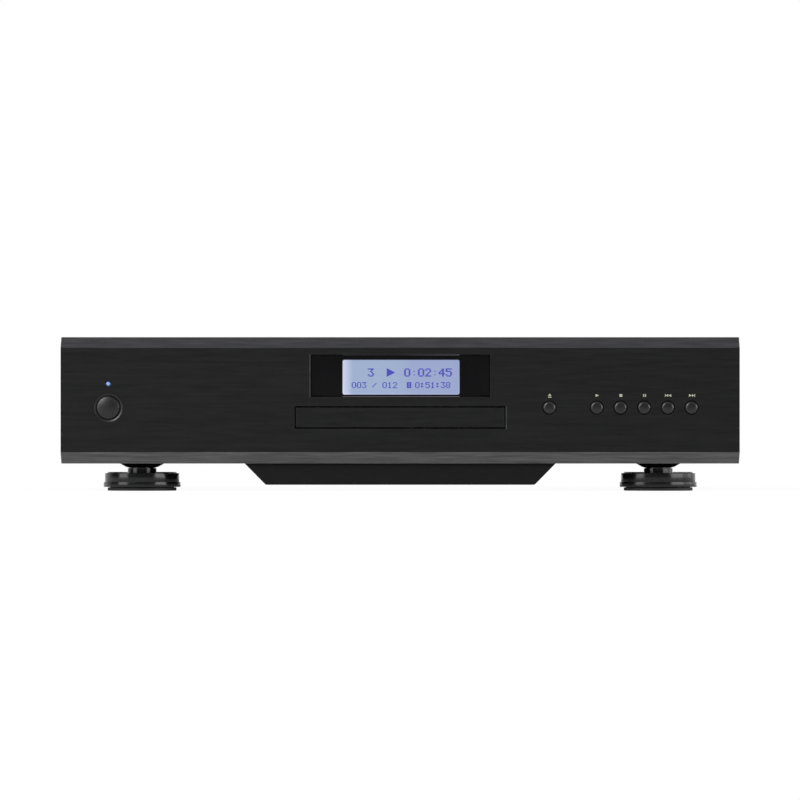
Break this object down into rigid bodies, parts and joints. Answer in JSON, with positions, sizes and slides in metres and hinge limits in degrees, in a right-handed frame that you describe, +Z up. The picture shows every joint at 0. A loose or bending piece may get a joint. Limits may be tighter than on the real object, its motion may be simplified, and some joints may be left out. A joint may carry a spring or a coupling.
{
  "type": "cd player",
  "caption": "Full-width hi-fi disc player with a front-loading tray, a small blue display and round keys on a dark bevelled fascia.",
  "frame": {"origin": "on the surface that the player stands on, in the middle of its overall length and depth", "axes": "+X to the right as seen from the front, +Y to the rear, +Z up"},
  "size_m": [0.43, 0.314, 0.0976],
  "materials": {
    "anodised_black": "brushed lengthwise and anodised near-black",
    "window_black": "smoked, polished",
    "display_blue": "back-lit liquid crystal display, pale blue",
    "pilot_blue": "clear light pipe lit blue",
    "key_black": "satin, slightly domed",
    "powder_coat": "fine-textured black powder coat on sheet steel",
    "foot_black": "glossy black",
    "pad_rubber": "matt rubber",
    "socket_black": "moulded black plastic",
    "grey_plastic": "moulded grey plastic",
    "gilt_brass": "gold-plated brass",
    "winding": "wound steel core and copper under yellow tape",
    "zinc_steel": "zinc-plated sheet steel",
    "polished_steel": "ground and polished",
    "bare_aluminium": "as extruded",
    "circuit_board": "green solder mask",
    "capacitor_sleeve": "dark blue sleeve",
    "loader_black": "fine spark-eroded moulding texture",
    "gear_white": "natural acetal",
    "lens_glass": "coated lens"
  },
  "bodies": {
    "root": {"fascia": "anodised_black", "display_bezel": "window_black", "lcd_module": "display_blue", "power_led": "pilot_blue", "front_subpanel": "zinc_steel", "front_board": "circuit_board", "base_pan": "powder_coat", "chin_pan": "powder_coat", "top_cover": "powder_coat", "rear_panel": "powder_coat", "foot_front_left": "foot_black", "foot_front_right": "foot_black", "foot_rear_left": "foot_black", "foot_rear_right": "foot_black", "foot_pad_front_left": "pad_rubber", "foot_pad_front_right": "pad_rubber", "foot_pad_rear_left": "pad_rubber", "foot_pad_rear_right": "pad_rubber", "power_switch": "grey_plastic", "mains_inlet": "socket_black", "output_jack_left": "gilt_brass", "output_jack_right": "gilt_brass", "digital_jack": "gilt_brass", "trigger_jack": "socket_black", "control_port": "socket_black", "transformer": "winding", "transformer_clamp": "zinc_steel", "power_board": "circuit_board", "filter_capacitor_1": "capacitor_sleeve", "filter_capacitor_2": "capacitor_sleeve", "heatsink": "bare_aluminium", "main_board": "circuit_board", "ribbon_cable": "grey_plastic", "loader_frame": "loader_black", "clamp_bridge": "zinc_steel", "loading_motor": "zinc_steel", "drive_belt": "pad_rubber"},
    "tray": {"disc_tray": "loader_black", "tray_front": "anodised_black"},
    "tray_gear": {"tray_gear": "gear_white"},
    "pulley_gear": {"pulley_gear": "gear_white"},
    "motor_pulley": {"motor_pulley": "gear_white"},
    "cam": {"cam_slider": "gear_white"},
    "traverse": {"traverse_plate": "zinc_steel", "spindle_motor": "zinc_steel", "guide_rod_left": "polished_steel", "guide_rod_right": "polished_steel", "sled_motor": "zinc_steel"},
    "turntable": {"turntable": "loader_black"},
    "clamp": {"clamp_puck": "loader_black"},
    "sled": {"pickup_sled": "grey_plastic"},
    "lens": {"objective_lens": "lens_glass"},
    "sled_pinion": {"sled_pinion": "gear_white"},
    "power_button": {"power_button": "anodised_black"},
    "eject_button": {"eject_button": "key_black"},
    "play_button": {"play_button": "key_black"},
    "stop_button": {"stop_button": "key_black"},
    "pause_button": {"pause_button": "key_black"},
    "previous_button": {"previous_button": "key_black"},
    "next_button": {"next_button": "key_black"}
  },
  "joints": [
    {"name": "tray_slide", "type": "slide", "parent": "root", "child": "tray", "axis": [0, -1, 0], "range_m": [0, 0.136]},
    {"name": "tray_gear_spin", "type": "hinge", "parent": "root", "child": "tray_gear", "pos_m": [0.0465, -0.104, 0.0373], "axis": [0, 0, 1], "range_deg": [-910, 40]},
    {"name": "pulley_gear_spin", "type": "hinge", "parent": "root", "child": "pulley_gear", "pos_m": [0.0465, -0.118, 0.034], "axis": [0, 0, 1], "range_deg": [-75, 1640]},
    {"name": "motor_pulley_spin", "type": "hinge", "parent": "root", "child": "motor_pulley", "pos_m": [0.014, -0.124, 0.034], "axis": [0, 0, 1], "range_deg": [-240, 5430]},
    {"name": "traverse_tilt", "type": "hinge", "parent": "root", "child": "traverse", "pos_m": [0, 0.038, 0.036], "axis": [1, 0, 0], "range_deg": [0, 2.59]},
    {"name": "cam_slide", "type": "slide", "parent": "root", "child": "cam", "axis": [-1, 0, 0], "range_m": [0, 0.014]},
    {"name": "turntable_spin", "type": "hinge", "parent": "traverse", "child": "turntable", "pos_m": [0, -0.08, 0.045], "axis": [0, 0, 1], "continuous": true},
    {"name": "clamp_spin", "type": "hinge", "parent": "root", "child": "clamp", "pos_m": [0, -0.08, 0.05], "axis": [0, 0, 1], "continuous": true},
    {"name": "sled_slide", "type": "slide", "parent": "traverse", "child": "sled", "axis": [0, 1, 0], "range_m": [0, 0.034]},
    {"name": "sled_pinion_spin", "type": "hinge", "parent": "traverse", "child": "sled_pinion", "pos_m": [0.0283, -0.0247, 0.0374], "axis": [0, 0, 1], "range_deg": [-490, 50]},
    {"name": "lens_focus", "type": "slide", "parent": "sled", "child": "lens", "axis": [0, 0, 1], "range_m": [-0.0007, 0.0007], "stiffness_N_per_m": 50},
    {"name": "power_press", "type": "slide", "parent": "root", "child": "power_button", "axis": [0, 1, 0], "range_m": [0, 0.002], "stiffness_N_per_m": 1500},
    {"name": "eject_press", "type": "slide", "parent": "root", "child": "eject_button", "axis": [0, 1, 0], "range_m": [0, 0.0008], "stiffness_N_per_m": 1500},
    {"name": "play_press", "type": "slide", "parent": "root", "child": "play_button", "axis": [0, 1, 0], "range_m": [0, 0.0008], "stiffness_N_per_m": 1500},
    {"name": "stop_press", "type": "slide", "parent": "root", "child": "stop_button", "axis": [0, 1, 0], "range_m": [0, 0.0008], "stiffness_N_per_m": 1500},
    {"name": "pause_press", "type": "slide", "parent": "root", "child": "pause_button", "axis": [0, 1, 0], "range_m": [0, 0.0008], "stiffness_N_per_m": 1500},
    {"name": "previous_press", "type": "slide", "parent": "root", "child": "previous_button", "axis": [0, 1, 0], "range_m": [0, 0.0008], "stiffness_N_per_m": 1500},
    {"name": "next_press", "type": "slide", "parent": "root", "child": "next_button", "axis": [0, 1, 0], "range_m": [0, 0.0008], "stiffness_N_per_m": 1500}
  ],
  "couplings": [
    {"joint": "tray_gear_spin", "follows": "tray_slide", "rad_per_m": -111.11},
    {"joint": "pulley_gear_spin", "follows": "tray_slide", "rad_per_m": 200},
    {"joint": "motor_pulley_spin", "follows": "tray_slide", "rad_per_m": 662.5},
    {"joint": "cam_slide", "follows": "traverse_tilt", "m_per_rad": 0.30915},
    {"joint": "clamp_spin", "follows": "turntable_spin", "ratio": 1},
    {"joint": "sled_pinion_spin", "follows": "sled_slide", "rad_per_m": -222.22}
  ]
}
